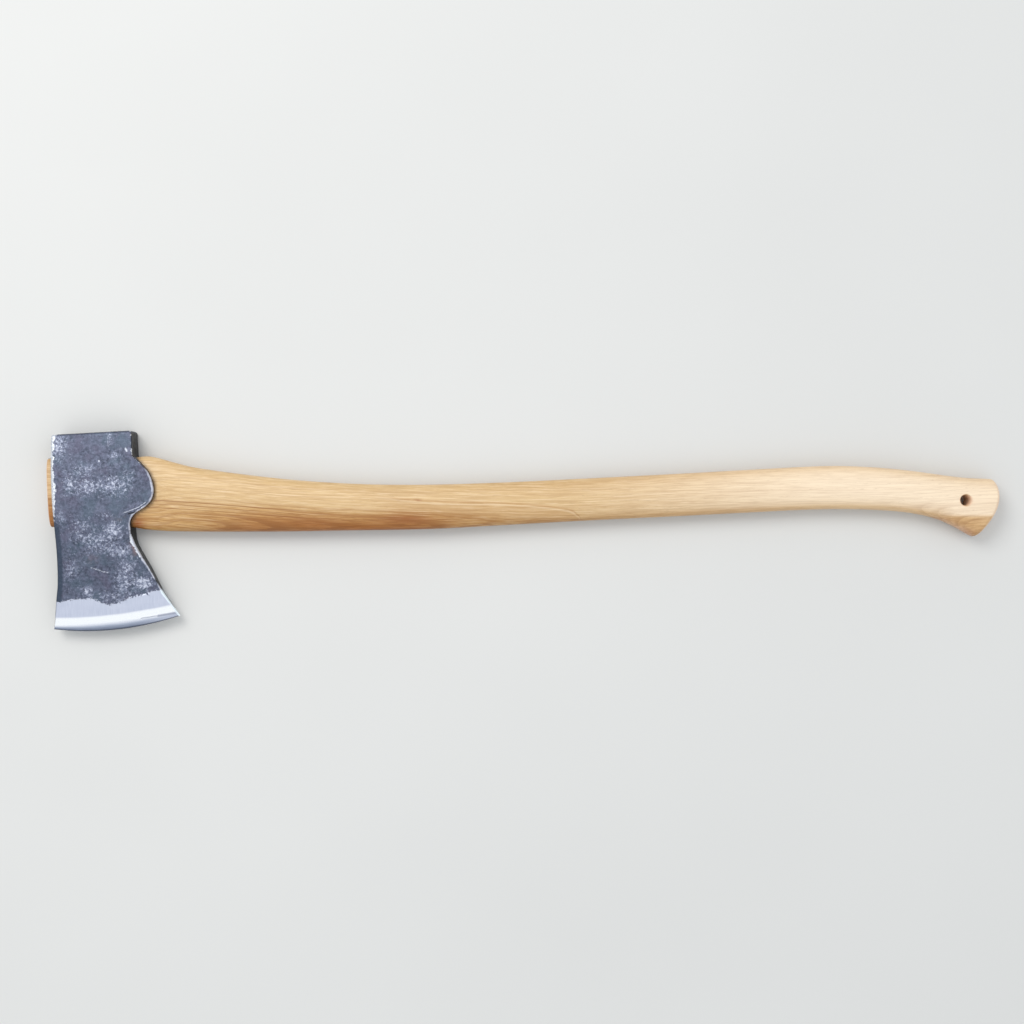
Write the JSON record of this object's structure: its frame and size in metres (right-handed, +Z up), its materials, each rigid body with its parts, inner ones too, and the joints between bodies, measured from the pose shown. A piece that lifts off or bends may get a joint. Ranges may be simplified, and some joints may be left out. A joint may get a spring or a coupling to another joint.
{
  "type": "felling axe",
  "caption": "Long single-bit felling axe: forged head with a rounded eye lug and square poll on a curved hardwood haft, held by a wooden wedge and a steel staple.",
  "frame": {"origin": "middle of the bottom of the axe's bounding box, as it lies on its side", "axes": "+X along the haft from the head to the knob, +Y from the cutting edge to the poll, +Z up through the axe's thickness"},
  "size_m": [0.889, 0.1876, 0.029],
  "materials": {
    "forged_steel": "satin",
    "hickory": "satin",
    "wedge_wood": "matte",
    "staple_steel": "satin"
  },
  "bodies": {
    "root": {"axe_head": "forged_steel", "haft": "hickory", "eye_wedge": "wedge_wood", "wedge_staple": "staple_steel"}
  },
  "joints": []
}
